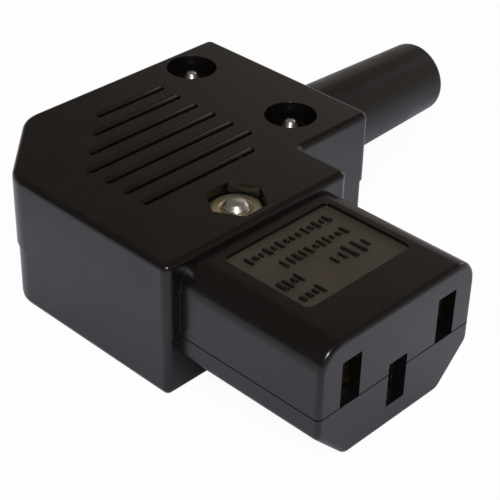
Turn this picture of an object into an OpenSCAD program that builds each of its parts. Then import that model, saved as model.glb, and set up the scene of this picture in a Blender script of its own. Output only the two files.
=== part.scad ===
// Angled rewireable C13 power connector: two moulded half shells around three
// folded contacts, with the cable leaving sideways through a rubber boot.
//
// The modules below share one working frame. X runs across the mating head and is
// zero on its middle, Y runs from the mating face (0) to the back, and Z runs up
// from the underside (0). place() moves everything so that the origin sits under
// the middle of the finished part.

/* [Mating head] */
// Width of the mating head
head_w = 22.6; // [22:0.1:23.4]
// Length of the head from the mating face to the body
head_len = 18.3; // [17.8:0.1:19]
// Height of the head's top above the parting plane
head_rise = 7.85; // [7.6:0.05:8.1]
// Depth of the head's underside below the parting plane
head_drop = 6.6; // [6.3:0.1:6.8]
// Leg of the two bevels that key the head
bevel = 4.3; // [3.8:0.1:4.6]
// Radius of the head's upper corners
head_corner_r = 2.8; // [2:0.1:3.4]
// Radius of the edge around the mating face
face_edge_r = 0.6; // [0.3:0.1:0.9]

/* [Contact slots] */
// Distance between the live and neutral slots
pin_pitch = 14; // [13.8:0.1:14.2]
// How far the earth slot sits below the other two
earth_drop = 4; // [3.8:0.1:4.2]
// Width of each slot
slot_w = 2.7; // [2.5:0.1:2.8]
// Height of each slot
slot_h = 5.2; // [5.1:0.1:5.4]
// Thickness of the wall in front of the contacts
face_wall = 1.6; // [1.2:0.1:1.8]

/* [Body] */
// Height of the body
body_h = 15.9; // [15.7:0.1:16.6]
// Width of the body's front part
front_w = 26.1; // [25.6:0.1:27]
// Depth of the body from its front face to its back
body_len = 32.4; // [31.8:0.1:33.6]
// How far the cable side reaches past the front part
wing_w = 11.4; // [11:0.1:12]
// How far the cable side stands back from the front face
wing_back = 6.8; // [6:0.1:7]
// Leg of the cut corner at the back
corner_cut = 8.8; // [8:0.1:9.4]
// Radius that softens the ends of the cut corner
corner_blend = 4; // [3:0.1:5]
// Radius of the body's other upright edges
upright_r = 0.9; // [0.6:0.1:1.2]
// Radius of the body's upper and lower edges
edge_r = 0.7; // [0.4:0.1:0.9]
// Height of the parting plane between the shells
parting_z = 7.2; // [7.1:0.05:7.4]
// Wall thickness of the shells
wall = 2; // [1.8:0.1:2.1]
// Set-back of the lower shell's sides
shell_step = 0.2; // [0:0.05:0.3]

/* [Grip grooves] */
// Number of grooves in the upper shell
groove_count = 7; // [5:1:7]
// Spacing of the grooves
groove_pitch = 2.82; // [2.7:0.02:2.9]
// Width of a groove
groove_w = 1.1; // [0.8:0.1:1.3]
// Depth of a groove
groove_d = 0.6; // [0.3:0.1:0.8]

/* [Label recess] */
// Length of the recess across the head
label_w = 15; // [13:0.5:16]
// Length of the recess along the head
label_len = 11.3; // [10:0.1:12]
// Depth of the recess
label_d = 0.4; // [0.2:0.1:0.6]

/* [Cable entry] */
// Diameter of the boot's bore, for the cable
boot_bore_d = 6.6; // [6:0.1:6.8]
// Diameter of the boot next to the body
boot_root_d = 10.4; // [10:0.1:10.8]
// Diameter of the boot at its free end
boot_tip_d = 9; // [8.8:0.1:9.4]
// Length of the boot outside the body
boot_len = 24.4; // [20:0.1:28]
// Distance of the cable's axis from the body's back face
cable_from_back = 13.3; // [13.1:0.1:13.5]

/* [Fasteners] */
// Width across the flats of the hexagonal nut
nut_af = 5.5; // [5.4:0.1:5.5]
// Thickness of the nut
nut_h = 2.4; // [2.2:0.1:2.4]
// Depth of the nut's upper face below the shell's top
nut_sink = 1; // [0.9:0.1:1.2]
// Length of the machine screw under its head
closing_screw_len = 12; // [11.8:0.1:12]
// Length of the self-tapping screws under their heads
side_screw_len = 13; // [12.6:0.1:13]
// Diameter of the round recesses over the side screws
recess_d = 5.9; // [5.8:0.1:6]

/* [Hidden] */
$fn = 48;
eps = 0.01;        // overshoot of a cutting tool
arc_steps = 6;     // straight pieces in a rounded corner
edge_steps = 4;    // rings in a rounded edge
bevel_shift = tan(22.5);

// Places of the body in plan
body_y0 = head_len;
body_y1 = head_len + body_len;
left_x = -front_w / 2;
step_x = front_w / 2;
right_x = step_x + wing_w;
wing_y = body_y0 + wing_back;

// Heights
floor_z = 2;
roof_z = body_h - 2;
head_top = parting_z + head_rise;
head_bottom = parting_z - head_drop;

// Contacts: folded from one thickness of sheet
sheet = 0.5;
sleeve_w = 3;
sleeve_len = 13;
sleeve_y = face_wall + 0.4;
sleeve_end = sleeve_y + sleeve_len;
pocket_gap = 0.1;
earth_z = parting_z - earth_drop;
line_x = pin_pitch / 2;

// Terminal pads: [middle x, front edge y] of each
pad_w = 6.6;
pad_len = 6.2;
pad_hole_r = 1.5;
collar_r = 2.1;
collar_h = 1.2;
ear_h = 1.6;
live_pad = [-line_x, body_y0 + 14.8];
neutral_pad = [line_x + 0.3, body_y0 + 3];
earth_pad = [1.2, body_y0 + 10.6];
// Low run of the earth strap, on the left of the closing screw
lane = [-6.4, -4.1];

// Wire clamp plates and their screws
plate_t = 0.8;
plate_w = 5.4;
terminal_screw_len = 6;
m3_r = 1.45;
m3_clear_r = 1.65;
m3_head_r = 2.6;
m3_head_h = 1.9;

// Closing screw and nut
closing_at = [0.6, body_y0 + 4.2];
nut_pocket_af = nut_af + 0.35;
nut_top = body_h - nut_sink;
nut_seat = nut_top - nut_h;
washer_t = 0.5;
washer_r = 3;
closing_tip = body_h - 0.3;
closing_head_z = closing_tip - closing_screw_len;
closing_seat = closing_head_z + washer_t;
closing_bore_r = 3.2;
closing_boss_r = 4.3;
closing_neck_r = 2.9;

// Side screws, one on each side of the cable
side_x = step_x + 4.45;
side_front = [side_x, wing_y + 5.7];
side_rear = [side_x, body_y1 - 4];
side_tip = body_h - 0.7;
side_seat = side_tip - side_screw_len;
side_shank_r = 1.35;
side_head_r = 2.8;
side_head_h = 1.8;
side_bore_r = 3.1;
side_boss_r = 3.8;
post_r = 1.95;
post_top = body_h - 1.6;
recess_floor = parting_z + 2.2;

// Cable axis, boot and cord clamp
cable_y = body_y1 - cable_from_back;
cable_z = parting_z;
bore_r = boot_bore_d / 2;
flange_r = 4.9;
flange_t = 1.5;
neck_r = 4.1;
neck_hole_r = 4.25;
flange_x = right_x - wall - flange_t;
boot_tip_x = right_x + boot_len;
boot_tip_round = 0.6;
clamp_x = 10;
clamp_w = 4.6;
clamp_reach = 6.4;
clamp_seat = parting_z + 1.2;
clamp_t = 2;
clamp_arch_r = 3.3;
clamp_boss_r = 2.2;
clamp_screw_len = 6.5;

// Grooves and label recess
groove_y = body_y1 - 5.35;
groove_x0 = -7;
groove_x1 = 11.6;
last_groove_short = 2.5;
label_x = 0.35;
label_y = 11.1;

// Locating lip on the lower shell
lip_t = 0.85;
lip_h = 0.95;
lip_gap = 0.15;

// Middle of the whole part in plan
middle = [(left_x + boot_tip_x) / 2, body_y1 / 2];

module place() translate([-middle.x, -middle.y, 0]) children();

// ---- outlines -------------------------------------------------------------

function unit(v) = v / norm(v);

// Points of an arc of radius r that rounds the corner at here.
function round_corner(before, here, after, r) =
    let (u = unit(before - here), v = unit(after - here), half = acos(u * v) / 2)
    let (centre = here + unit(u + v) * r / sin(half))
    let (p = here + u * r / tan(half) - centre, q = here + v * r / tan(half) - centre)
    let (a = atan2(p.y, p.x), turn = (atan2(q.y, q.x) - a + 540) % 360 - 180)
    [for (i = [0:arc_steps]) centre + r * [cos(a + turn * i / arc_steps), sin(a + turn * i / arc_steps)]];

// Closed outline through the given corners, each rounded by its own radius.
function rounded(corners, radii) =
    let (n = len(corners))
    [for (i = [0:n - 1]) each round_corner(corners[(i + n - 1) % n], corners[i], corners[(i + 1) % n], radii[i])];

// Plan of the body, moved inwards by inset.
function body_outline(inset) =
    let (d = inset, s = inset * bevel_shift, r = max(upright_r - d, 0.3), big = corner_blend - d)
    rounded([[left_x + d, body_y0 + d], [step_x - d, body_y0 + d], [step_x - d, wing_y + d],
             [right_x - d, wing_y + d], [right_x - d, body_y1 - d],
             [left_x + corner_cut + s, body_y1 - d], [left_x + d, body_y1 - corner_cut - s]],
            [r, r, 0.4 + d, r, r, big, big]);

// Section of the head, seen from the front, moved inwards by inset.
function head_section(inset) =
    let (d = inset, s = inset * bevel_shift, x = head_w / 2)
    rounded([[-x + bevel + s, head_bottom + d], [x - bevel - s, head_bottom + d],
             [x - d, head_bottom + bevel + s], [x - d, head_top - d],
             [-x + d, head_top - d], [-x + d, head_bottom + bevel + s]],
            [1, 1, 1, head_corner_r - d, head_corner_r - d, 1]);

// Box outline with equal rounded corners.
function box_outline(w, l, r) =
    rounded([[-w / 2, 0], [w / 2, 0], [w / 2, l], [-w / 2, l]], [r, r, r, r]);

// Solid through a stack of rings that have the same number of points.
module loft(rings) {
    n = len(rings[0]);
    last = len(rings) - 1;
    sides = [for (k = [0:last - 1]) for (i = [0:n - 1])
        [k * n + i, (k + 1) * n + i, (k + 1) * n + (i + 1) % n, k * n + (i + 1) % n]];
    bottom = [for (i = [0:n - 1]) i];
    top = [for (i = [n - 1:-1:0]) last * n + i];
    polyhedron([for (ring = rings) each ring], concat(sides, [bottom], [top]));
}

function at_height(points, z) = [for (p = points) [p.x, p.y, z]];

// Quarter-round edge as [inset, distance from the end] pairs, from the side inwards.
function edge_round(r) =
    [for (i = [0:edge_steps]) let (t = 90 * i / edge_steps) [r * (1 - cos(t)), r * (1 - sin(t))]];

// ---- shells ---------------------------------------------------------------

// The body and the head both run on past their flat ends, which slab() cuts off.
module outer_body(inset) {
    end = body_outline(inset + edge_r);
    low = [for (e = edge_round(edge_r)) at_height(body_outline(inset + e[0]), e[1])];
    high = [for (e = edge_round(edge_r)) at_height(body_outline(inset + e[0]), body_h - e[1])];
    loft(concat([at_height(end, -1)], [for (i = [edge_steps:-1:0]) low[i]], high, [at_height(end, body_h + 1)]));
}

module outer_head() {
    root = at_height(head_section(0), -head_len - wall / 2);
    face = [for (e = edge_round(face_edge_r)) at_height(head_section(e[0]), -e[1])];
    rotate([90, 0, 0]) loft(concat([root], face, [at_height(head_section(face_edge_r), 1)]));
}

module slab(z0, z1) translate([left_x - 5, 0, z0]) cube([right_x - left_x + 10, body_y1 + 5, z1 - z0]);

module prism(outline, z0, z1) translate([0, 0, z0]) linear_extrude(z1 - z0) polygon(outline);

module post(at, r, z0, z1) translate([at.x, at.y, z0]) cylinder(r = r, h = z1 - z0);

module box(low, high) translate(low) cube(high - low);

// Opening in the mating face for one contact, and the pocket behind it.
module contact_room(x, z) {
    box([x - slot_w / 2, -1, z], [x + slot_w / 2, face_wall + eps, z + slot_h]);
    half = sleeve_w / 2 + pocket_gap;
    box([x - half, face_wall, z], [x + half, body_y0 + wall + eps, z + slot_h + pocket_gap]);
}

module line_rooms() for (side = [-1, 1]) contact_room(side * line_x, parting_z);

// Room in the lower shell for the earth contact's strap where it leaves its pocket.
module strap_room() {
    half = sleeve_w / 2 + pocket_gap;
    side = [lane[0] - 0.3, lane[1] + 0.3];
    prism([[half, sleeve_end - 1], [half, sleeve_end + 0.5], [side[1], body_y0 + 0.9], [side[1], body_y0 + wall + eps],
           [side[0], body_y0 + wall + eps], [side[0], body_y0 - 0.3], [-half, sleeve_end - 0.4], [-half, sleeve_end - 1]],
          earth_z - pocket_gap, parting_z + lip_h + eps);
}

module earth_room() {
    half = sleeve_w / 2 + pocket_gap;
    box([-slot_w / 2, -1, earth_z], [slot_w / 2, face_wall + eps, earth_z + slot_h]);
    box([-half, face_wall, earth_z - pocket_gap], [half, sleeve_end + 0.5, earth_z + slot_h + pocket_gap]);
}

module neck_hole() translate([right_x - wall - 1, cable_y, cable_z]) rotate([0, 90, 0]) cylinder(r = neck_hole_r, h = wall + 2);

module cavity(z0, z1) prism(body_outline(wall), z0, z1);

// Half-round support across the cable, hanging down (up = 0) or standing (up = 1).
module cable_rib(x, t, half_w, z0, z1, r) difference() {
    box([x, cable_y - half_w, z0], [x + t, cable_y + half_w, z1]);
    translate([x - eps, cable_y, cable_z]) rotate([0, 90, 0]) cylinder(r = r, h = t + 2 * eps);
}

module groove(i) {
    x0 = max(groove_x0, groove_x0 + 8.45 - i * (groove_pitch + 0.13));
    x1 = groove_x1 - (i == groove_count - 1 ? last_groove_short : 0);
    r = groove_w / 2;
    translate([0, groove_y - i * groove_pitch, body_h - groove_d]) linear_extrude(groove_d + 1) {
        translate([x0 + r, -r]) square([x1 - x0 - groove_w, groove_w]);
        translate([x0 + r, 0]) circle(r = r, $fn = 24);
        translate([x1 - r, 0]) circle(r = r, $fn = 24);
    }
}

module label_recess() translate([label_x, label_y - label_len / 2, head_top - label_d])
    linear_extrude(label_d + 1) polygon(box_outline(label_w, label_len, 0.8));

module nut_pocket() post_hex(closing_at, nut_pocket_af, nut_seat, body_h + 1);

module post_hex(at, across, z0, z1)
    translate([at.x, at.y, z0]) cylinder(r = across / sqrt(3), h = z1 - z0, $fn = 6);

// Annular recess over a side screw: it leaves a post standing for the thread.
module side_recess(at) translate([at.x, at.y, 0]) {
    translate([0, 0, post_top]) cylinder(r = recess_d / 2, h = body_h - post_top + 1);
    difference() {
        translate([0, 0, recess_floor]) cylinder(r = recess_d / 2, h = post_top - recess_floor + eps);
        translate([0, 0, recess_floor - 1]) cylinder(r = post_r, h = post_top);
    }
}

module top_shell() color([0.16, 0.15, 0.15]) place() difference() {
    union() {
        difference() {
            intersection() {
                union() { outer_body(0); outer_head(); }
                slab(parting_z, body_h);
            }
            cavity(parting_z - 1, roof_z);
            neck_hole();
        }
        intersection() {
            union() {
                post(closing_at, closing_neck_r, parting_z, roof_z);
                post(closing_at, closing_boss_r, nut_seat - 1.8, roof_z + eps);
                for (at = [side_front, side_rear]) post(at, side_boss_r, parting_z, roof_z + eps);
                cable_rib(side_x - 0.6, 1.2, 4, cable_z, roof_z + eps, bore_r + 0.2);
                // keeper over the live contact's long tail
                box([-line_x - 1.5, body_y0 + 10, parting_z + sheet], [-line_x + 1.5, body_y0 + 11, roof_z + eps]);
            }
            prism(body_outline(wall / 2), parting_z, roof_z + eps);
        }
    }
    // rebate that takes the lower shell's lip
    difference() {
        prism(body_outline(wall - lip_t - lip_gap), parting_z - 1, parting_z + lip_h + lip_gap);
        prism(body_outline(wall + lip_gap), parting_z - 2, parting_z + 2);
    }
    line_rooms();
    earth_room();
    nut_pocket();
    post(closing_at, m3_clear_r, 0, body_h);
    for (at = [side_front, side_rear]) {
        side_recess(at);
        post(at, side_shank_r + 0.05, parting_z - 1, post_top + 1);
    }
    for (i = [0:groove_count - 1]) groove(i);
    label_recess();
}

// Block under a terminal pad, bored for the pad's collar and the screw's end.
module pad_support(pad, z0) {
    y = pad.y + pad_len / 2;
    difference() {
        box([pad.x - pad_w / 2, pad.y + 0.6, z0], [pad.x + pad_w / 2, pad.y + pad_len, parting_z]);
        post([pad.x, y], collar_r + 0.3, z0 - 1, parting_z + 1);
    }
}

module bottom_shell() color([0.18, 0.17, 0.18]) place() difference() {
    union() {
        difference() {
            intersection() {
                union() { outer_body(shell_step); outer_head(); }
                slab(0, parting_z);
            }
            cavity(floor_z, parting_z + 1);
        }
        // locating lip
        difference() {
            prism(body_outline(wall - lip_t), parting_z - 1, parting_z + lip_h);
            prism(body_outline(wall), parting_z - 2, parting_z + 2);
            for (side = [-1, 1])
                box([side * line_x - sleeve_w / 2 - 0.3, body_y0, parting_z - eps],
                    [side * line_x + sleeve_w / 2 + 0.3, body_y0 + wall + 0.5, parting_z + 2]);
            box([-sleeve_w / 2 - 0.3, body_y0, parting_z - eps], [sleeve_w / 2 + 0.3, body_y0 + wall + 0.5, parting_z + 2]);
        }
        intersection() {
            union() {
                post(closing_at, closing_boss_r, 1, parting_z - 1.6);
                post(closing_at, closing_neck_r, 1, parting_z);
                for (at = [side_front, side_rear]) post(at, side_boss_r, 1, parting_z);
                for (side = [-1, 1]) post([clamp_x, cable_y + side * clamp_reach], clamp_boss_r, 1, clamp_seat);
                pad_support(live_pad, floor_z - eps);
                pad_support(neutral_pad, floor_z - eps);
                pad_support(earth_pad, floor_z - eps);
                for (x = [clamp_x - 1.8, clamp_x + 0.8]) cable_rib(x, 1, 4, floor_z - eps, cable_z, bore_r + 0.1);
                // barriers between the terminals
                box([earth_pad.x + 4, body_y0 + 10, floor_z - eps], [earth_pad.x + 5, body_y0 + 17.5, parting_z + 2.4]);
                box([earth_pad.x - 4.5, body_y0 + 10.9, floor_z - eps], [earth_pad.x - 3.7, body_y0 + 20, parting_z + 2.4]);
            }
            prism(body_outline(wall / 2), 1, parting_z + 3);
        }
    }
    neck_hole();
    earth_room();
    strap_room();
    post(closing_at, m3_clear_r, -1, parting_z + 1);
    post(closing_at, closing_bore_r, -1, closing_seat);
    for (at = [side_front, side_rear]) {
        post(at, side_shank_r + 0.25, -1, parting_z + 1);
        post(at, side_bore_r, -1, side_seat);
    }
    for (side = [-1, 1])
        post([clamp_x, cable_y + side * clamp_reach], side_shank_r + 0.05, floor_z - 0.6, clamp_seat + 1);
}

// ---- contacts and terminals -------------------------------------------------

// Folded sleeve that grips the pin, with its floor on z = 0 and its mouth at y = 0.
module sleeve() {
    h = slot_h;
    difference() {
        rotate([90, 0, 0]) translate([0, 0, -sleeve_len]) linear_extrude(sleeve_len) difference() {
            polygon(box_outline(sleeve_w, h, sheet));
            translate([0, sheet]) polygon(box_outline(sleeve_w - 2 * sheet, h - 2 * sheet, 0.1));
        }
        // seam of the fold
        box([-0.2, -1, h - sheet - eps], [0.2, sleeve_len + 1, h + 1]);
        // slits that free a spring leaf in each side
        for (z = [h * 0.24, h * 0.7]) box([-sleeve_w, 2, z], [sleeve_w, sleeve_len - 3, z + 0.3]);
    }
    // pressed rib on the inside of each leaf
    for (side = [-1, 1]) intersection() {
        translate([side * (sleeve_w / 2 - sheet + 0.35), sleeve_len * 0.42, h * 0.24 + 0.3])
            cylinder(r = 0.6, h = h * 0.46 - 0.3, $fn = 24);
        box([side > 0 ? 0 : -sleeve_w / 2 + eps, 0, 0], [side > 0 ? sleeve_w / 2 - eps : 0, sleeve_len, h]);
    }
}

// Terminal pad with a drawn collar for the thread and two ears that keep the wire in.
// Its front edge is at y = 0.
module terminal_pad() difference() {
    union() {
        linear_extrude(sheet) polygon(box_outline(pad_w, pad_len, 0.4));
        translate([0, pad_len / 2, -collar_h]) cylinder(r = collar_r, h = collar_h + eps);
        for (side = [-1, 1])
            translate([side * (pad_w / 2 - sheet / 2) - sheet / 2, 1, 0]) cube([sheet, pad_len - 2, sheet + ear_h]);
    }
    translate([0, pad_len / 2, -collar_h - 1]) cylinder(r = pad_hole_r, h = collar_h + 3);
}

module tail(x, y1) box([x - sleeve_w / 2, sleeve_end - eps, parting_z], [x + sleeve_w / 2, y1 + eps, parting_z + sheet]);

module brass() color([0.78, 0.62, 0.32]) children();

module line_contact(x, pad) brass() place() union() {
    translate([x, sleeve_y, parting_z]) sleeve();
    tail(x, pad.y);
    translate([pad.x, pad.y, parting_z]) terminal_pad();
}

module live_contact() line_contact(-line_x, live_pad);

module neutral_contact() line_contact(line_x, neutral_pad);

// The earth strap leaves its sleeve low, passes the closing screw and steps up to its pad.
module earth_contact() brass() place() union() {
    translate([0, sleeve_y, earth_z]) sleeve();
    riser = [earth_pad.x - 1.6, earth_pad.x + 1.6];
    back = earth_pad.y;
    front = closing_at.y + closing_boss_r + 0.4;
    prism([[sleeve_w / 2, sleeve_end - eps], [sleeve_w / 2, sleeve_end + 0.2], [lane[1], body_y0 + 0.7],
           [lane[1], front - 1.8], [lane[1] + 1.9, front], [riser[1], front], [riser[1], back],
           [lane[0] + 3.4, back], [lane[0], back - 3], [lane[0], body_y0 - 0.1], [-sleeve_w / 2, sleeve_end - eps]],
          earth_z, earth_z + sheet);
    box([riser[0], back - sheet, earth_z], [riser[1], back + eps, parting_z + sheet]);
    translate([earth_pad.x, earth_pad.y, parting_z]) terminal_pad();
}

module clamp_plate(pad) color([0.72, 0.72, 0.7]) place()
    translate([pad.x, pad.y + pad_len / 2, parting_z + sheet]) difference() {
        translate([0, -pad_len / 2 + 0.3, 0]) linear_extrude(plate_t)
            polygon(box_outline(plate_w - 0.2, pad_len - 0.6, 0.5));
        translate([0, 0, -1]) cylinder(r = pad_hole_r + 0.1, h = 3);
        for (y = [-2, 2]) translate([-plate_w, y - 0.2, -eps]) cube([2 * plate_w, 0.4, 0.2]);
    }

module live_clamp_plate() clamp_plate(live_pad);

module neutral_clamp_plate() clamp_plate(neutral_pad);

module earth_clamp_plate() clamp_plate(earth_pad);

// Cross recess that opens upwards at z = 0.
module cross_recess(size, depth) translate([0, 0, -depth]) for (a = [0, 90])
    rotate([0, 0, a]) translate([-size / 2, -size / 8, 0]) cube([size, size / 4, depth + 1]);

// Pan-head screw that points down, with the underside of its head on z = 0.
// tip_r and tip_h shape the end: a short chamfer or a long point.
module pan_screw(head_r, head_h, shank_r, length, tip_r, tip_h) difference() {
    rotate_extrude() polygon(concat(
        [[0, -length], [tip_r, -length], [shank_r, -length + tip_h], [shank_r, 0], [head_r, 0], [head_r, head_h * 0.45]],
        [for (i = [1:5]) let (t = 90 * i / 5)
            [head_r * (0.6 + 0.4 * cos(t)), head_h * (0.45 + 0.55 * sin(t))]],
        [[0, head_h]]));
    translate([0, 0, head_h]) cross_recess(head_r * 1.15, head_h * 0.6);
}

module steel() color([0.75, 0.74, 0.7]) children();

module terminal_screw(pad) steel() place()
    translate([pad.x, pad.y + pad_len / 2, parting_z + sheet + plate_t])
        pan_screw(m3_head_r, m3_head_h, pad_hole_r - 0.08, terminal_screw_len - plate_t, 1, 0.5);

module live_terminal_screw() terminal_screw(live_pad);

module neutral_terminal_screw() terminal_screw(neutral_pad);

module earth_terminal_screw() terminal_screw(earth_pad);

// ---- cable entry ------------------------------------------------------------

module cord_clamp() color([0.28, 0.27, 0.26]) place()
    translate([clamp_x - clamp_w / 2, cable_y, 0]) rotate([90, 0, 90]) linear_extrude(clamp_w) difference() {
        union() {
            translate([-clamp_reach - 2.3, clamp_seat]) square([2 * clamp_reach + 4.6, clamp_t]);
            intersection() {
                translate([0, clamp_seat - 1]) circle(r = clamp_arch_r + 1.7);
                translate([-10, clamp_seat]) square([20, 10]);
            }
        }
        translate([0, clamp_seat - 1]) circle(r = clamp_arch_r);
    }

// The clamp with the holes for its two screws.
module drilled_clamp() difference() {
    cord_clamp();
    color([0.28, 0.27, 0.26]) place() for (side = [-1, 1])
        post([clamp_x, cable_y + side * clamp_reach], side_shank_r + 0.15, 0, body_h);
}

module cord_clamp_screw(side) steel() place()
    translate([clamp_x, cable_y + side * clamp_reach, clamp_seat + clamp_t])
        pan_screw(2.2, 1.6, side_shank_r, clamp_screw_len, 0.3, 1.2);

module cord_clamp_screw_front() cord_clamp_screw(-1);

module cord_clamp_screw_rear() cord_clamp_screw(1);

// Rubber boot, turned about the cable's axis: [radius, place along the axis].
module cable_boot() color([0.12, 0.12, 0.13]) place()
    translate([0, cable_y, cable_z]) rotate([0, 90, 0]) rotate_extrude($fn = 72) polygon(concat(
        [[bore_r, flange_x], [flange_r, flange_x], [flange_r, flange_x + flange_t], [neck_r, flange_x + flange_t],
         [neck_r, right_x], [boot_root_d / 2, right_x]],
        [for (i = [0:5]) let (t = 90 * i / 5)
            [boot_tip_d / 2 - boot_tip_round * (1 - cos(t)), boot_tip_x - boot_tip_round * (1 - sin(t))]],
        [[bore_r, boot_tip_x]]));

// ---- fasteners that close the shells ------------------------------------------

module closing_screw() steel() place()
    translate([closing_at.x, closing_at.y, closing_head_z]) mirror([0, 0, 1])
        pan_screw(2.75, 2, m3_r, closing_screw_len, 1.05, 0.5);

module closing_washer() steel() place() difference() {
    post(closing_at, washer_r, closing_head_z, closing_seat);
    post(closing_at, m3_clear_r, 0, closing_seat + 1);
}

// Hexagonal nut, its corners turned off to a cone above and below.
module closing_nut() color([0.8, 0.72, 0.5]) place() translate([closing_at.x, closing_at.y, nut_seat]) difference() {
    intersection() {
        cylinder(r = nut_af / sqrt(3), h = nut_h, $fn = 6);
        rotate_extrude() polygon([[0, 0], [nut_af * 0.47, 0], [nut_af / sqrt(3) + 0.05, 0.45],
                                  [nut_af / sqrt(3) + 0.05, nut_h - 0.45], [nut_af * 0.47, nut_h], [0, nut_h]]);
    }
    rotate_extrude() polygon([[0, -1], [m3_r + 0.35, -1], [m3_r + 0.35, 0], [m3_r + 0.05, 0.3],
                              [m3_r + 0.05, nut_h - 0.3], [m3_r + 0.35, nut_h], [m3_r + 0.35, nut_h + 1], [0, nut_h + 1]]);
}

module side_screw(at) steel() place() translate([at.x, at.y, side_seat]) mirror([0, 0, 1])
    pan_screw(side_head_r, side_head_h, side_shank_r, side_screw_len, 0.15, 2);

module side_screw_front() side_screw(side_front);

module side_screw_rear() side_screw(side_rear);

top_shell();
bottom_shell();
cable_boot();
live_contact();
neutral_contact();
earth_contact();
live_clamp_plate();
neutral_clamp_plate();
earth_clamp_plate();
live_terminal_screw();
neutral_terminal_screw();
earth_terminal_screw();
drilled_clamp();  // cord_clamp
cord_clamp_screw_front();
cord_clamp_screw_rear();
closing_screw();
closing_washer();
closing_nut();
side_screw_front();
side_screw_rear();
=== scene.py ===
# %% [markdown]
# # Angled C13 power connector
# The CAD model gives the solids: two moulded half shells, a rubber boot, folded
# contacts and the screws. This lesson dresses them. It sets the camera and a plain
# pale studio, gives every piece the finish of its real material, rounds the sharp
# CAD edges as a mould does, cuts real threads on the screws, and adds the small
# raised marks that are too fine for the CAD source.

# %% Load the CAD model as a fixed frame
import math

import bmesh
import bpy
import numpy as np
from mathutils import Matrix, Vector


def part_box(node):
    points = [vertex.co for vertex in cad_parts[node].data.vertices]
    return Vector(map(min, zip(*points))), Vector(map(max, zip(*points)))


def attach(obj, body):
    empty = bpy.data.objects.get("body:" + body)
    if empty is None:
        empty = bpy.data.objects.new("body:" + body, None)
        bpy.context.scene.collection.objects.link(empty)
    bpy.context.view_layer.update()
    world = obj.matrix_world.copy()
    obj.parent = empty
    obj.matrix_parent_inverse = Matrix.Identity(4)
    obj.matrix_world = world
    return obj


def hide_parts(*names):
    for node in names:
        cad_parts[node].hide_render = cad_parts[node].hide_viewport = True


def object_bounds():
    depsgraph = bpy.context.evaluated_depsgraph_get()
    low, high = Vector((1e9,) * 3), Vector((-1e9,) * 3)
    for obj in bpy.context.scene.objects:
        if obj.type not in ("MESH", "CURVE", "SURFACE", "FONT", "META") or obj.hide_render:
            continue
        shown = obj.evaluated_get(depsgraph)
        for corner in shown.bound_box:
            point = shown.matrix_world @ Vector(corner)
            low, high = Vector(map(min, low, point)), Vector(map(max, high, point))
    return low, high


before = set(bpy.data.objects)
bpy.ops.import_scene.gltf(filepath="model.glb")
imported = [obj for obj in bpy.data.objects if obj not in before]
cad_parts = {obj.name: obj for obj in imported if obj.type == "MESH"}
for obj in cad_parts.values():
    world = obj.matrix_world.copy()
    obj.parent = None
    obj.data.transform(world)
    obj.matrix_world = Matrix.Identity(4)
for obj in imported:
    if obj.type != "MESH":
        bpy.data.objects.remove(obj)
cad_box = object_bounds()
cad_size = cad_box[1] - cad_box[0]
print("CAD nodes:", len(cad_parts), "size in mm:", [round(v * 1000, 1) for v in cad_size])

# %% [markdown]
# ## Units and places
# Lengths below are real millimetres, turned to metres by `MM`. Places come from the
# CAD boxes: the mating face is the front of the shells, the parting plane lies over the
# collar of the live contact's pad, and the head's middle lies just left of the nut's.

# %% Units and the places that the other cells use
MM = 0.001
nut_off_middle = 0.6 * MM
head_below_body = 0.85 * MM
pad_collar = 1.2 * MM
shell_low, shell_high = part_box("top_shell")
nut_low, nut_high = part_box("closing_nut")
face_y = shell_low.y
middle_x = (nut_low.x + nut_high.x) / 2 - nut_off_middle
body_top = shell_high.z
head_top = body_top - head_below_body
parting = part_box("live_contact")[0].z + pad_collar
print("face y, middle x, parting z in mm:", [round(v * 1000, 2) for v in (face_y, middle_x, parting)])

# %% [markdown]
# ## Colours
# Colours are written as sRGB hex values, as a colour picker shows them. Shaders work
# with linear light, so one function turns the hex text into linear numbers.

# %% Hex colour to linear
def linear(hex_text, alpha=1.0):
    """Each channel c becomes c / 12.92 below 0.04045, and ((c + 0.055) / 1.055) ** 2.4 above."""
    c = np.array([int(hex_text[i:i + 2], 16) for i in (1, 3, 5)]) / 255
    c = np.where(c <= 0.04045, c / 12.92, ((c + 0.055) / 1.055) ** 2.4)
    return (*c.tolist(), alpha)


print("mid grey in linear light:", [round(v, 3) for v in linear("#808080")])

# %% [markdown]
# ## One way to add a node
# A material is a small graph. This one function adds any node, sets its properties
# and fills its inputs: an output of another node is linked, a plain value is stored.

# %% Node and material helpers
def add(tree, kind, inputs=None, **settings):
    """Adds a shader node to the tree, with its settings and with its inputs linked or set."""
    node = tree.nodes.new("ShaderNode" + kind)
    for key, value in settings.items():
        setattr(node, key, value)
    for key, value in (inputs or {}).items():
        if isinstance(value, bpy.types.NodeSocket):
            tree.links.new(value, node.inputs[key])
        else:
            node.inputs[key].default_value = value
    return node


def new_finish(name, **fixed):
    """A material with one Principled shader, whose fixed sockets are set straight away."""
    material = bpy.data.materials.new(name)
    material.use_nodes = True
    tree = material.node_tree
    tree.nodes.clear()
    shader = add(tree, "BsdfPrincipled", {key.replace("_", " "): value for key, value in fixed.items()})
    add(tree, "OutputMaterial", {"Surface": shader.outputs[0]})
    where = add(tree, "TexCoord").outputs["Object"]
    print("finish:", name)
    return material, tree, shader, where


def per_mm(size):
    """Scale of a texture whose pattern repeats about every size millimetres."""
    return 1 / (size * MM)


# %% [markdown]
# ## Camera
# The view is from the front left and above, through a long lens, as for a product
# portrait. The camera stands on a line through its aim, and a small roll levels the
# picture. The matrix is built from the right, up and backward directions.

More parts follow.
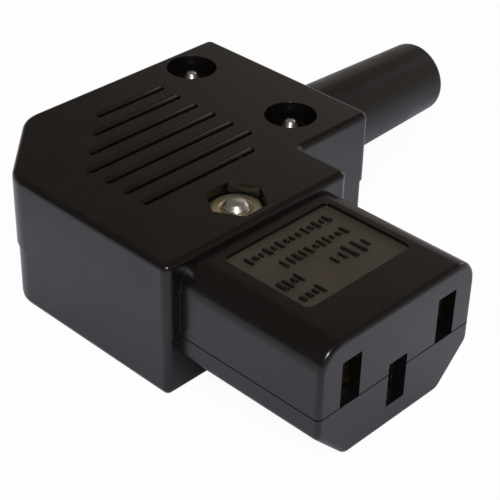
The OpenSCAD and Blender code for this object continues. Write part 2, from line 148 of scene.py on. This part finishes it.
# %% Camera
azimuth, elevation, roll = math.radians(-46.548), math.radians(33.978), math.radians(1.551)
aim = Vector((-12.481, -0.35, 6.183)) * MM
distance = 159.444 * MM
level = math.cos(elevation)
backward = Vector((math.sin(azimuth) * level, -math.cos(azimuth) * level, math.sin(elevation)))
right = (-backward).cross(Vector((0, 0, 1))).normalized()
up = right.cross(-backward)
right, up = right * math.cos(roll) + up * math.sin(roll), up * math.cos(roll) - right * math.sin(roll)

lens = bpy.data.cameras.new("portrait_lens")
lens.lens, lens.sensor_width = 106.406, 36
lens.clip_start, lens.clip_end = 0.01, 20
camera = bpy.data.objects.new("portrait_camera", lens)
turned = Matrix((right, up, backward)).transposed().to_4x4()
camera.matrix_world = Matrix.Translation(aim + backward * distance) @ turned
bpy.context.scene.collection.objects.link(camera)
bpy.context.scene.camera = camera
bpy.context.scene.view_settings.view_transform = "Standard"
print("camera at", [round(v * 1000) for v in camera.matrix_world.translation], "mm")

# %% [markdown]
# ## Floor
# A white sheet, mostly self-lit for the camera and for reflections, so that it shows as
# clean white without more light on the object. The rest is diffuse and takes the soft
# shadow. In reflections its glow is slightly blue, with a painted shadow where the
# connector stands close over it and a painted pool of light beside the connector.

# %% Floor
floor_radius, floor_drop, floor_corners = 1.5, -0.00002, 96
floor_mesh = bpy.data.meshes.new("floor_sheet")
turn = np.linspace(0, 2 * np.pi, floor_corners, endpoint=False)
rim = np.stack([floor_radius * np.cos(turn), floor_radius * np.sin(turn), np.full_like(turn, floor_drop)], 1)
floor_mesh.from_pydata(rim.tolist(), [], [list(range(floor_corners))])
floor = bpy.data.objects.new("floor_sheet", floor_mesh)
bpy.context.scene.collection.objects.link(floor)

paper = bpy.data.materials.new("white_paper_sheet")
paper.use_nodes = True
tree = paper.node_tree
tree.nodes.clear()
path = add(tree, "LightPath").outputs
mirrored = add(tree, "Math", {0: path["Is Glossy Ray"], 1: path["Is Transmission Ray"]}, operation="MAXIMUM")
seen = add(tree, "Math", {0: mirrored.outputs[0], 1: path["Is Camera Ray"]}, operation="MAXIMUM")
share = add(tree, "Math", {0: seen.outputs[0], 1: 0.92}, operation="MULTIPLY")
matt = add(tree, "BsdfDiffuse", {"Color": linear("#f2f2f0")})
# painted shadow: the occlusion darkens the glow seen in reflections where the connector stands within 16 mm
painted_contact_shadow = add(tree, "AmbientOcclusion", {"Distance": 16 * MM}, samples=8)
# the painted pool of light is brightest 22 mm from its middle, beside the connector, and fades by 50 mm
on_floor = add(tree, "TexCoord").outputs["Object"]
away = add(tree, "VectorMath", {0: on_floor, 1: (-10 * MM, 0.0, 0.0)}, operation="DISTANCE")
pool = add(tree, "MapRange", {"Value": away.outputs["Value"], "From Min": 22 * MM, "From Max": 50 * MM,
                              "To Min": 1.2, "To Max": 0.72})
# the glow in reflections is the painted shadow times the painted pool of light
mirror_level = add(tree, "Math", {0: painted_contact_shadow.outputs["AO"], 1: pool.outputs[0]}, operation="MULTIPLY")
# a little over 1, because the diffuse part of the sheet is darker than white
level = add(tree, "Mix", {0: mirrored.outputs[0], 2: 1.03, 3: mirror_level.outputs[0]}, data_type="FLOAT")
tint = add(tree, "Mix", {0: mirrored.outputs[0], 6: (1, 1, 1, 1), 7: linear("#eceffc")}, data_type="RGBA")
glow = add(tree, "Emission", {"Color": tint.outputs[2], "Strength": level.outputs[0]})
mixed = add(tree, "MixShader", {0: share.outputs[0], 1: matt.outputs[0], 2: glow.outputs[0]})
add(tree, "OutputMaterial", {"Surface": mixed.outputs[0]})
floor_mesh.materials.append(paper)
print("floor radius in m:", floor_radius)

# %% [markdown]
# ## Light
# A glossy dark thing shows little but reflections. Its upright sides mirror the white
# floor and its top mirrors the room above, so the room is warm and dim in reflections,
# and paler low down towards the right. A small lamp from the front left lights the matt
# recess and puts glints on rounded corners, and a weaker one stands low on the right.

# %% Room and lamps
world = bpy.data.worlds.new("studio_room")
bpy.context.scene.world = world
world.use_nodes = True
tree = world.node_tree
tree.nodes.clear()
direction = add(tree, "SeparateXYZ", {0: add(tree, "TexCoord").outputs["Generated"]})
toward_right = add(tree, "MapRange", {"Value": direction.outputs["X"], "From Min": 0.56, "From Max": 0.72,
                                      "To Min": 0.0, "To Max": 1.0}, interpolation_type="SMOOTHSTEP")
low_down = add(tree, "MapRange", {"Value": direction.outputs["Z"], "From Min": 0.42, "From Max": 0.6,
                                  "To Min": 1.0, "To Max": 0.0}, interpolation_type="SMOOTHSTEP")
level = add(tree, "Math", {0: toward_right.outputs[0], 1: low_down.outputs[0]}, operation="MULTIPLY")
level = add(tree, "Math", {0: level.outputs[0], 1: 0.32, 2: 0.12}, operation="MULTIPLY_ADD")
path = add(tree, "LightPath").outputs
gloss = add(tree, "Math", {0: path["Is Glossy Ray"], 1: path["Is Transmission Ray"]}, operation="MAXIMUM")
room = add(tree, "Mix", {0: gloss.outputs[0], 2: 0.25, 3: level.outputs[0]}, data_type="FLOAT")
strength = add(tree, "Mix", {0: path["Is Camera Ray"], 2: room.outputs[0], 3: 1.0}, data_type="FLOAT")
warmth = add(tree, "Mix", {0: path["Is Camera Ray"], 6: linear("#fff0e4"), 7: (1, 1, 1, 1)},
             data_type="RGBA")
back = add(tree, "Background", {"Color": warmth.outputs[2], "Strength": strength.outputs[0]})
add(tree, "OutputWorld", {"Surface": back.outputs[0]})


def soft_lamp(name, watts, side, place, target=(0, 0, 0.008)):
    """A square area lamp of the given side in metres, aimed at the target."""
    data = bpy.data.lights.new(name, "AREA")
    data.energy, data.size = watts, side
    lamp = bpy.data.objects.new(name, data)
    lamp.location = place
    lamp.rotation_mode = "QUATERNION"
    lamp.rotation_quaternion = (Vector(target) - Vector(place)).to_track_quat("-Z", "Y")
    bpy.context.scene.collection.objects.link(lamp)
    return lamp


key_lamp = soft_lamp("key_lamp", 1.6, 0.10, (-0.30, -0.30, 0.40))
fill_lamp = soft_lamp("fill_lamp", 0.4, 0.3, (0.85, 0.0, 0.35))
print("lamps:", key_lamp.name, fill_lamp.name)

# %% [markdown]
# ## Housing plastic
# The shells are injection-moulded nylon or ABS from a polished steel mould. The eye
# gets a near-black body with a clear gloss, a faint orange peel about half a
# millimetre wide, slightly uneven gloss from handling, and a little dust.

# %% Finish of the two shells
def moulded_gloss(name, dark, pale, low_gloss, high_gloss, peel_um, dust=0.0):
    """Polished moulded plastic: two near-black tones, uneven roughness, orange peel and a little dust."""
    material, tree, shader, where = new_finish(name, IOR=1.5)
    cloud = add(tree, "TexNoise", {"Vector": where, "Scale": per_mm(9), "Detail": 3.0})
    tone = add(tree, "Mix", {"Factor": cloud.outputs[0], 6: linear(dark), 7: linear(pale)}, data_type="RGBA")
    colour = tone.outputs[2]
    if dust:
        # real dust is finer than 0.1 mm; a speck is drawn up to 0.29 mm wide so that it shows
        specks = add(tree, "TexVoronoi", {"Vector": where, "Scale": per_mm(1.6)}, feature="F1")
        shown = add(tree, "MapRange", {"Value": specks.outputs["Distance"], "From Min": 0.03,
                                       "From Max": 0.09, "To Min": dust, "To Max": 0.0})
        thin = add(tree, "TexNoise", {"Vector": where, "Scale": per_mm(4), "Detail": 1.0})
        sparse = add(tree, "MapRange", {"Value": thin.outputs[0], "From Min": 0.55, "From Max": 0.65})
        amount = add(tree, "Math", {0: shown.outputs[0], 1: sparse.outputs[0]}, operation="MULTIPLY")
        dusted = add(tree, "Mix", {"Factor": amount.outputs[0], 6: colour, 7: linear("#6f6a62")},
                     data_type="RGBA")
        colour = dusted.outputs[2]
    tree.links.new(colour, shader.inputs["Base Color"])
    smear = add(tree, "TexNoise", {"Vector": where, "Scale": per_mm(3.5), "Detail": 4.0, "Distortion": 0.4})
    rough = add(tree, "MapRange", {"Value": smear.outputs[0], "From Min": 0.3, "From Max": 0.7,
                                   "To Min": low_gloss, "To Max": high_gloss})
    tree.links.new(rough.outputs[0], shader.inputs["Roughness"])
    peel = add(tree, "TexNoise", {"Vector": where, "Scale": per_mm(0.55), "Detail": 2.0})
    bump = add(tree, "Bump", {"Height": peel.outputs[0], "Strength": 1.0, "Distance": peel_um * 1e-6})
    tree.links.new(bump.outputs[0], shader.inputs["Normal"])
    return material


upper_plastic = moulded_gloss("upper_shell_polished_nylon", "#0d0b0a", "#141110", 0.2, 0.3, 4, dust=0.6)
lower_plastic = moulded_gloss("lower_shell_polished_nylon", "#0e0d0e", "#141315", 0.22, 0.32, 4)

# %% [markdown]
# ## Spark-eroded panel
# The label recess is left as spark erosion cuts it: a matt, fine pebble. It scatters
# the lamp's light instead of mirroring the dark room, and its tone is painted pale olive,
# far paler than the shell's nylon: a painted sheen for that scattered light.

# %% Finish of the label recess
panel_plastic, tree, shader, where = new_finish("spark_eroded_nylon_painted_sheen", IOR=1.5, Roughness=0.5)
pebble = add(tree, "TexNoise", {"Vector": where, "Scale": per_mm(0.22), "Detail": 3.0})
cloud = add(tree, "TexNoise", {"Vector": where, "Scale": per_mm(5), "Detail": 2.0})
# painted sheen: both olive tones are far paler than the shell's nylon and stand in for scattered lamp light;
# the cloud mixes them at random
tone = add(tree, "Mix", {"Factor": cloud.outputs[0], 6: linear("#38332a"), 7: linear("#4f493c")},
           data_type="RGBA")
tree.links.new(tone.outputs[2], shader.inputs["Base Color"])
bump = add(tree, "Bump", {"Height": pebble.outputs[0], "Strength": 1.0, "Distance": 12e-6})
tree.links.new(bump.outputs[0], shader.inputs["Normal"])

# %% [markdown]
# ## Boot rubber, clamp plastic and metals
# The boot is moulded rubber with a soft sheen. The cord clamp is plain matt nylon.
# Contacts are stamped brass with rolling lines, the screws are bright plated steel,
# and the nut is brass. Metals keep the default IOR.

# %% Finishes of the boot and the clamp
boot_rubber = moulded_gloss("moulded_rubber_boot", "#110e0d", "#191615", 0.3, 0.42, 7)
clamp_nylon = moulded_gloss("matt_moulded_nylon", "#24211f", "#2c2927", 0.5, 0.6, 10)


# %% Finishes of the metals
def bright_metal(name, base, tint, low_gloss, high_gloss, line_mm, stretch, depth_um):
    """Metal with fine lines: noise squeezed by stretch = (x, y, z), that varies tone, gloss and relief."""
    material, tree, shader, where = new_finish(name, Metallic=1.0)
    squeezed = add(tree, "Mapping", {"Vector": where, "Scale": stretch})
    lines = add(tree, "TexNoise", {"Vector": squeezed.outputs[0], "Scale": per_mm(line_mm), "Detail": 4.0})
    cloud = add(tree, "TexNoise", {"Vector": where, "Scale": per_mm(1.2), "Detail": 2.0})
    tone = add(tree, "Mix", {"Factor": cloud.outputs[0], 6: linear(base), 7: linear(tint)}, data_type="RGBA")
    rough = add(tree, "MapRange", {"Value": lines.outputs[0], "From Min": 0.3, "From Max": 0.7,
                                   "To Min": low_gloss, "To Max": high_gloss})
    bump = add(tree, "Bump", {"Height": lines.outputs[0], "Strength": 1.0, "Distance": depth_um * 1e-6})
    for node, output, socket in ((tone, 2, "Base Color"), (rough, 0, "Roughness"), (bump, 0, "Normal")):
        tree.links.new(node.outputs[output], shader.inputs[socket])
    return material


# rolling drew the lines of the sheet out along Y; plating leaves no direction
along_sheet, no_direction = (1.0, 0.12, 1.0), (1.0, 1.0, 1.0)
contact_brass = bright_metal("stamped_brass_sheet", "#c79d55", "#d8b46c", 0.22, 0.34, 0.25, along_sheet, 3)
plated_steel = bright_metal("bright_zinc_plated_steel", "#dedcd6", "#efede8", 0.26, 0.4, 0.3, no_direction, 6)
nut_brass = bright_metal("pale_plated_brass_nut", "#efe0ae", "#f8efcc", 0.34, 0.48, 0.3, no_direction, 5)

# %% [markdown]
# ## From CAD node to moulding
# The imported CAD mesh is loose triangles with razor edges. A real moulding has edges
# rounded by a tenth of a millimetre, which is what catches the light. The recipe:
# copy the mesh, merge its points, join flat neighbours, mark the sharp edges and give
# them a small bevel. The CAD object itself is never changed, and the copy replaces it.

# %% Helper that turns a CAD node into a rounded moulding
def rounded_copy(node, finishes, round_mm, sharp=28, segments=2):
    """Merged copy of a CAD node: points within 2 micrometres join, faces within a third of a degree
    become one, and each edge that turns by more than sharp degrees gets a round of round_mm."""
    mesh = bpy.data.meshes.new(node + "_piece")
    bm = bmesh.new()
    bm.from_mesh(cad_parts[node].data)
    bmesh.ops.remove_doubles(bm, verts=bm.verts, dist=2e-6)
    bmesh.ops.dissolve_limit(bm, angle_limit=math.radians(0.35), verts=bm.verts, edges=bm.edges)
    bm.to_mesh(mesh)
    bm.free()
    mesh.materials.clear()
    for finish in finishes:
        mesh.materials.append(finish)
    mesh.polygons.foreach_set("material_index", np.zeros(len(mesh.polygons), np.int32))
    mesh.polygons.foreach_set("use_smooth", np.ones(len(mesh.polygons), bool))
    mesh.set_sharp_from_angle(angle=math.radians(sharp))
    piece = bpy.data.objects.new(node + "_piece", mesh)
    bpy.context.scene.collection.objects.link(piece)
    bevel = piece.modifiers.new("moulded_edges", "BEVEL")
    bevel.limit_method, bevel.angle_limit = "ANGLE", math.radians(sharp)
    bevel.width, bevel.segments = round_mm * MM, segments
    bevel.use_clamp_overlap = True
    bevel.miter_outer = "MITER_ARC"
    flat = piece.modifiers.new("flat_faces_stay_flat", "WEIGHTED_NORMAL")
    flat.keep_sharp = True
    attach(piece, "root")
    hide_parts(node)
    print(piece.name, "faces:", len(mesh.polygons))
    return piece


# %% The two shells
top_piece = rounded_copy("top_shell", [upper_plastic, panel_plastic], 0.1)
bottom_piece = rounded_copy("bottom_shell", [lower_plastic], 0.1)

# %% [markdown]
# The two shells meet in a hairline gap. In the visual copy the lower shell's rim sinks
# by 0.12 mm, which shows as a thin dark seam on the head.

# %% Hairline seam
seam = 0.12 * MM
points = np.zeros(len(bottom_piece.data.vertices) * 3)
bottom_piece.data.vertices.foreach_get("co", points)
points = points.reshape(-1, 3)
on_rim = abs(points[:, 2] - parting) < 0.01 * MM
points[on_rim, 2] -= seam
bottom_piece.data.vertices.foreach_set("co", points.ravel())
bottom_piece.data.update()
print("rim points lowered:", int(on_rim.sum()))

# %% [markdown]
# The label recess is the one flat area that lies 0.4 mm under the head's top. Its
# faces are found by their height and direction, and get the spark-eroded finish.

# %% Matt finish in the label recess
def faces_near(piece, height, tolerance=0.03 * MM):
    """Numbers of the upward faces whose middle lies at the height."""
    count = len(piece.data.polygons)
    middle, normal = np.zeros(count * 3), np.zeros(count * 3)
    piece.data.polygons.foreach_get("center", middle)
    piece.data.polygons.foreach_get("normal", normal)
    middle, normal = middle.reshape(-1, 3), normal.reshape(-1, 3)
    return (abs(middle[:, 2] - height) < tolerance) & (normal[:, 2] > 0.9)


recess_deep = 0.4 * MM
recess_z = head_top - recess_deep
in_recess = faces_near(top_piece, recess_z)
top_piece.data.polygons.foreach_set("material_index", in_recess.astype(np.int32))
print("faces in the recess:", int(in_recess.sum()))

# %% [markdown]
# ## Boot, clamp, contacts and small plates
# These keep their CAD shape too. Sheet brass has edges rounded by less than the
# shells, because a punch leaves only a slight roll-over.

# %% Boot, clamp, contacts, plates, washer and nut
rounded_copy("cable_boot", [boot_rubber], 0.15, segments=3)
rounded_copy("cord_clamp", [clamp_nylon], 0.15)
for name in ("live", "neutral", "earth"):
    rounded_copy(name + "_contact", [contact_brass], 0.04)
    rounded_copy(name + "_clamp_plate", [plated_steel], 0.06)
rounded_copy("closing_washer", [plated_steel], 0.05)
rounded_copy("closing_nut", [nut_brass], 0.07, segments=3)

# %% [markdown]
# ## A grid of points as a closed skin
# Threads and raised marks are computed surfaces. Points lie on rings, each ring on the
# next. Faces join every point to its neighbours by index arithmetic on whole arrays,
# so no loop runs over the points, and a fan closes each end.

# %% Skin over stacks of rings
def ring_skin(rings):
    """rings has the shape (pieces, rings, points, 3). Returns the points and faces of closed skins:
    the quad at ring j and point i joins (j, i), (j, i + 1), (j + 1, i + 1) and (j + 1, i)."""
    pieces, count, around, _ = rings.shape
    ends = np.stack([rings[:, 0].mean(1), rings[:, -1].mean(1)], 1)
    points = np.concatenate([rings.reshape(pieces, -1, 3), ends], 1)
    start = (np.arange(pieces) * points.shape[1])[:, None]
    j, i = [a.ravel() for a in np.meshgrid(np.arange(count - 1), np.arange(around), indexing="ij")]
    n = (i + 1) % around
    quads = np.stack([j * around + i, j * around + n, (j + 1) * around + n, (j + 1) * around + i], 1)
    i, n = np.arange(around), (np.arange(around) + 1) % around
    low_end, high_end = np.full(around, count * around), np.full(around, count * around + 1)
    last = (count - 1) * around
    fans = np.concatenate([np.stack([low_end, n, i], 1), np.stack([high_end, last + i, last + n], 1)])
    quads = (start[:, :, None] + quads).reshape(-1, 4)
    fans = (start[:, :, None] + fans).reshape(-1, 3)
    return points.reshape(-1, 3), quads.tolist() + fans.tolist()


def skin_piece(name, finish, rings, sharp=40):
    """A new piece made of closed skins, smooth but for edges that turn by more than sharp degrees."""
    points, faces = ring_skin(rings)
    mesh = bpy.data.meshes.new(name)
    mesh.from_pydata(points.tolist(), [], faces)
    mesh.materials.append(finish)
    mesh.polygons.foreach_set("use_smooth", np.ones(len(faces), bool))
    mesh.set_sharp_from_angle(angle=math.radians(sharp))
    piece = bpy.data.objects.new(name, mesh)
    bpy.context.scene.collection.objects.link(piece)
    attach(piece, "root")
    print(name, "faces:", len(faces))
    return piece


# %% [markdown]
# ## Raised marks in the recess
# The recess of such a connector carries moulded marks. These are plain: rows of small
# rounded ticks of uneven width, which say nothing. Each stands 0.22 mm proud and starts
# 0.02 mm under the recess's floor.

# %% Ticks in the recess
def bar_rings(middle, size, base, height, corner):
    """Rounded bars, with s the rise over the top edge from 0 to 1 and the quarter t of each corner:
    ring point = middle + sign * (size / 2 - corner) + (corner - inset) * (cos t, sin t),
    inset = 0.8 * corner * (1 - sqrt(1 - s ** 2)), and height = height - corner * (1 - s)."""
    around = 24
    t = (np.arange(around) + 0.5) / around * 2 * np.pi
    turn = np.stack([np.cos(t), np.sin(t)], 1)
    rise = np.array([0.0, 0.0, 0.38, 0.71, 0.92, 1.0])
    inset = corner * (1 - np.sqrt(1 - rise ** 2)) * 0.8
    level = np.concatenate([[0.0, 1 - corner / height], 1 - corner / height * (1 - rise[2:])])
    straight = np.sign(turn)[None, None] * (size[:, None, None, :] / 2 - corner)
    plan = middle[:, None, None, :] + straight + (corner - inset)[None, :, None, None] * turn
    z = np.broadcast_to((base + height * level)[None, :, None], plan.shape[:3])
    return np.concatenate([plan, z[..., None]], 3) * MM


def tick_row(x_start, x_end, y, tall, pitch, seed):
    """A row of ticks along X: their widths and gaps are drawn from a fixed random run."""
    chance = np.random.default_rng(seed)
    x = np.arange(x_start, x_end, pitch)
    wide = chance.uniform(0.3, 0.62, len(x))
    lean = chance.uniform(-0.12, 0.12, len(x))
    high = chance.choice([0.55, 1.0], len(x)) * tall
    return np.stack([x + lean, np.full(len(x), y)], 1), np.stack([wide, high], 1)


recess_middle = (middle_x / MM + 0.35, face_y / MM + 11.1)
tick_high, tick_sunk, tick_corner = 0.24, 0.02, 0.12
# each row: from x, to x and y off the recess's middle, then height along Y, pitch and random run
rows = [tick_row(-5.6, 5.6, 3.8, 1.25, 0.86, 1), tick_row(-3.4, 6.0, 1.2, 1.25, 0.86, 2),
        tick_row(0.6, 6.0, -1.7, 2.2, 1.15, 3), tick_row(-6.4, -3.8, -1.3, 1.5, 0.8, 4),
        tick_row(-6.2, -3.6, -3.9, 1.5, 0.8, 5)]
centre = np.concatenate([row[0] for row in rows]) + recess_middle
size = np.concatenate([row[1] for row in rows])
skin_piece("raised_ticks", upper_plastic,
           bar_rings(centre, size, recess_z / MM - tick_sunk, tick_high, tick_corner))

# %% [markdown]
# ## Grip bars
# Each grip groove holds a low bar along its far side, flush with the shell, so that the
# eye sees a thin dark line and a lit edge beside it.

# %% Bars in the grip grooves
groove_count, groove_wide, groove_pitch, groove_back = 7, 1.1, 2.82, 5.35
groove_left, groove_right = -7.0, 11.6
rearmost_shorter, foremost_shorter, slant = 8.45, 2.5, 0.13
bar_wide, bar_high, bar_corner, bar_end_gap = 0.62, 0.62, 0.15, 0.05
lower_shell_set_back = 0.2
shell_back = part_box("bottom_shell")[1].y / MM + lower_shell_set_back
step = np.arange(groove_count)
# the rear grooves start further right, where the cut corner of the body leaves less room
left_end = np.maximum(groove_left, groove_left + rearmost_shorter - step * (groove_pitch + slant))
right_end = np.where(step == groove_count - 1, groove_right - foremost_shorter, groove_right)
centre = np.stack([middle_x / MM + (left_end + right_end) / 2,
                   shell_back - groove_back - step * groove_pitch + (groove_wide - bar_wide) / 2], 1)
size = np.stack([right_end - left_end - 2 * bar_end_gap, np.full(groove_count, bar_wide)], 1)
skin_piece("grip_bars", upper_plastic,
           bar_rings(centre, size, body_top / MM - bar_high, bar_high, bar_corner))

# %% [markdown]
# ## Real threads
# A rolled thread is a helix. At the distance d from the tip and the angle phi the radius
# follows a blunt triangle wave of d / pitch + phi / (2 pi), and near the tip it is held
# under a cone. The head comes from the CAD screw, cut off just under its seat.

# %% Threaded screws
def threaded_screw(node, finish, head, shank_r, pitch, depth, tip_up, tip_r, tip_h):
    """Replaces a CAD screw by its own head and a helical shank: radius = shank_r - depth * (1 - wave),
    wave = min(1, 1.5 * (1 - abs(2 u - 1))), u = fraction of d / pitch + turn,
    where turn runs from 0 to 1 round the way that the screw points, so the helix is right-handed."""
    neck, start = 0.3, 0.1
    rows_per_turn, around = 12, 40
    low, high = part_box(node)
    x, y = (low.x + high.x) / 2 / MM, (low.y + high.y) / 2 / MM
    way, tip = (1, high.z / MM) if tip_up else (-1, low.z / MM)
    seat = (low.z / MM + head) if tip_up else (high.z / MM - head)
    cap = rounded_copy(node, [finish], 0.05)
    bm = bmesh.new()
    bm.from_mesh(cap.data)
    cut = bmesh.ops.bisect_plane(bm, geom=bm.verts[:] + bm.edges[:] + bm.faces[:], dist=1e-7,
                                 plane_co=(0, 0, (seat + way * neck) * MM), plane_no=(0, 0, way),
                                 clear_outer=True)
    rim = [item for item in cut["geom_cut"] if isinstance(item, bmesh.types.BMEdge)]
    bmesh.ops.edgeloop_fill(bm, edges=rim)
    bm.to_mesh(cap.data)
    bm.free()
    length = abs(tip - seat) - start
    d = np.linspace(length, 0, int(length / pitch * rows_per_turn))
    share = np.arange(around) / around
    phi = 2 * np.pi * way * share
    u = np.mod(d[:, None] / pitch + share[None, :], 1.0)
    wave = np.minimum(1, 1.5 * (1 - abs(2 * u - 1)))
    cone = tip_r + (shank_r - tip_r) * np.minimum(1, d / tip_h)
    radius = np.minimum(shank_r - depth * (1 - wave), cone[:, None])
    rings = np.stack([x + radius * np.cos(phi), y + radius * np.sin(phi),
                      np.broadcast_to((tip - way * d)[:, None], radius.shape)], 2) * MM
    skin_piece(node + "_thread", finish, rings[None], sharp=75)


fine = {"pitch": 0.5, "depth": 0.28, "tip_h": 0.5}
coarse = {"pitch": 1.2, "depth": 0.3, "shank_r": 1.35}
threaded_screw("closing_screw", plated_steel, head=2.0, shank_r=1.45, tip_up=True, tip_r=0.95, **fine)
for side in ("front", "rear"):
    threaded_screw("side_screw_" + side, plated_steel, head=1.8, tip_up=True, tip_r=0.5, tip_h=1.5, **coarse)
    threaded_screw("cord_clamp_screw_" + side, plated_steel, head=1.6, tip_up=False, tip_r=0.3, tip_h=1.2,
                   **coarse)
for name in ("live", "neutral", "earth"):
    threaded_screw(name + "_terminal_screw", plated_steel, head=1.9, shank_r=1.42, tip_up=False, tip_r=1.0,
                   **fine)
